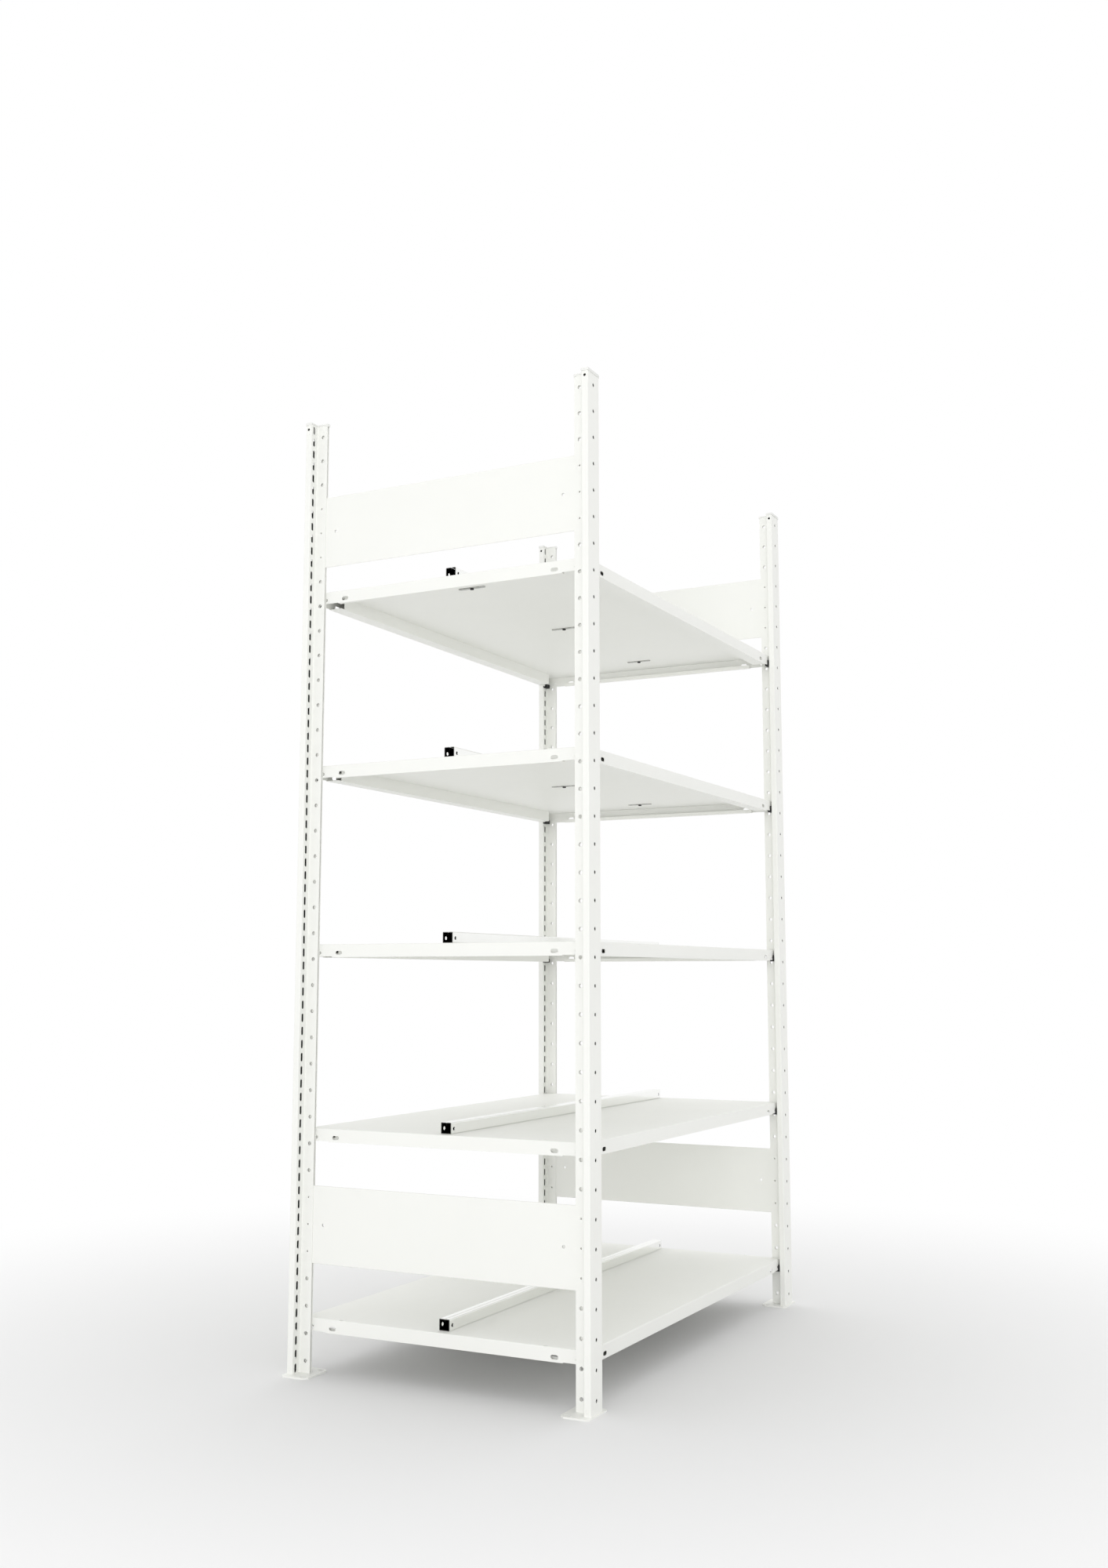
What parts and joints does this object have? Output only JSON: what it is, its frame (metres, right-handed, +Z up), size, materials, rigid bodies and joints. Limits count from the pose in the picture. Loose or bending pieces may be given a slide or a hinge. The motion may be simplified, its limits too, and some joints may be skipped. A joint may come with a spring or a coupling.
{
  "type": "steel shelving unit",
  "caption": "Boltless steel shelving unit: perforated T posts with end panels, pan shelves on hook-in clips, each with a centre stop rail.",
  "frame": {"origin": "on the floor under the centre of the unit", "axes": "+Z up, +X along the shelves, +Y to the back; both aisle sides are alike"},
  "size_m": [1.08, 0.6402, 1.8515],
  "materials": {
    "posts": "smooth off-white powder coat, satin",
    "foot_plates": "smooth off-white powder coat, satin",
    "caps": "moulded plastic, matt",
    "panels": "smooth off-white powder coat, satin",
    "rivets": "coated over with the frame",
    "clips": "black coat, satin",
    "shelves": "smooth off-white powder coat, satin",
    "rails": "smooth off-white powder coat, satin",
    "washers": "zinc plated, dull",
    "screws": "blackened"
  },
  "bodies": {
    "frame": {"post_front_left": "posts", "post_front_right": "posts", "post_back_left": "posts", "post_back_right": "posts", "foot_plate_front_left": "foot_plates", "foot_plate_front_right": "foot_plates", "foot_plate_back_left": "foot_plates", "foot_plate_back_right": "foot_plates", "post_cap_front_left": "caps", "post_cap_front_right": "caps", "post_cap_back_left": "caps", "post_cap_back_right": "caps", "frame_panel_lower_left": "panels", "frame_panel_lower_right": "panels", "frame_panel_upper_left": "panels", "frame_panel_upper_right": "panels", "panel_rivets_lower_left": "rivets", "panel_rivets_lower_right": "rivets", "panel_rivets_upper_left": "rivets", "panel_rivets_upper_right": "rivets", "shelf_clips_1": "clips", "shelf_clips_2": "clips", "shelf_clips_3": "clips", "shelf_clips_4": "clips", "shelf_clips_5": "clips"},
    "shelf_1_body": {"shelf_1": "shelves", "stop_rail_1": "rails", "rail_washers_1": "washers", "rail_screws_1": "screws"},
    "shelf_2_body": {"shelf_2": "shelves", "stop_rail_2": "rails", "rail_washers_2": "washers", "rail_screws_2": "screws"},
    "shelf_3_body": {"shelf_3": "shelves", "stop_rail_3": "rails", "rail_washers_3": "washers", "rail_screws_3": "screws"},
    "shelf_4_body": {"shelf_4": "shelves", "stop_rail_4": "rails", "rail_washers_4": "washers", "rail_screws_4": "screws"},
    "shelf_5_body": {"shelf_5": "shelves", "stop_rail_5": "rails", "rail_washers_5": "washers", "rail_screws_5": "screws"}
  },
  "joints": [
    {"name": "shelf_1_lift", "type": "slide", "parent": "frame", "child": "shelf_1_body", "axis": [0, 0, 1], "range_m": [0, 0.06]},
    {"name": "shelf_2_lift", "type": "slide", "parent": "frame", "child": "shelf_2_body", "axis": [0, 0, 1], "range_m": [0, 0.06]},
    {"name": "shelf_3_lift", "type": "slide", "parent": "frame", "child": "shelf_3_body", "axis": [0, 0, 1], "range_m": [0, 0.06]},
    {"name": "shelf_4_lift", "type": "slide", "parent": "frame", "child": "shelf_4_body", "axis": [0, 0, 1], "range_m": [0, 0.06]},
    {"name": "shelf_5_lift", "type": "slide", "parent": "frame", "child": "shelf_5_body", "axis": [0, 0, 1], "range_m": [0, 0.06]}
  ]
}
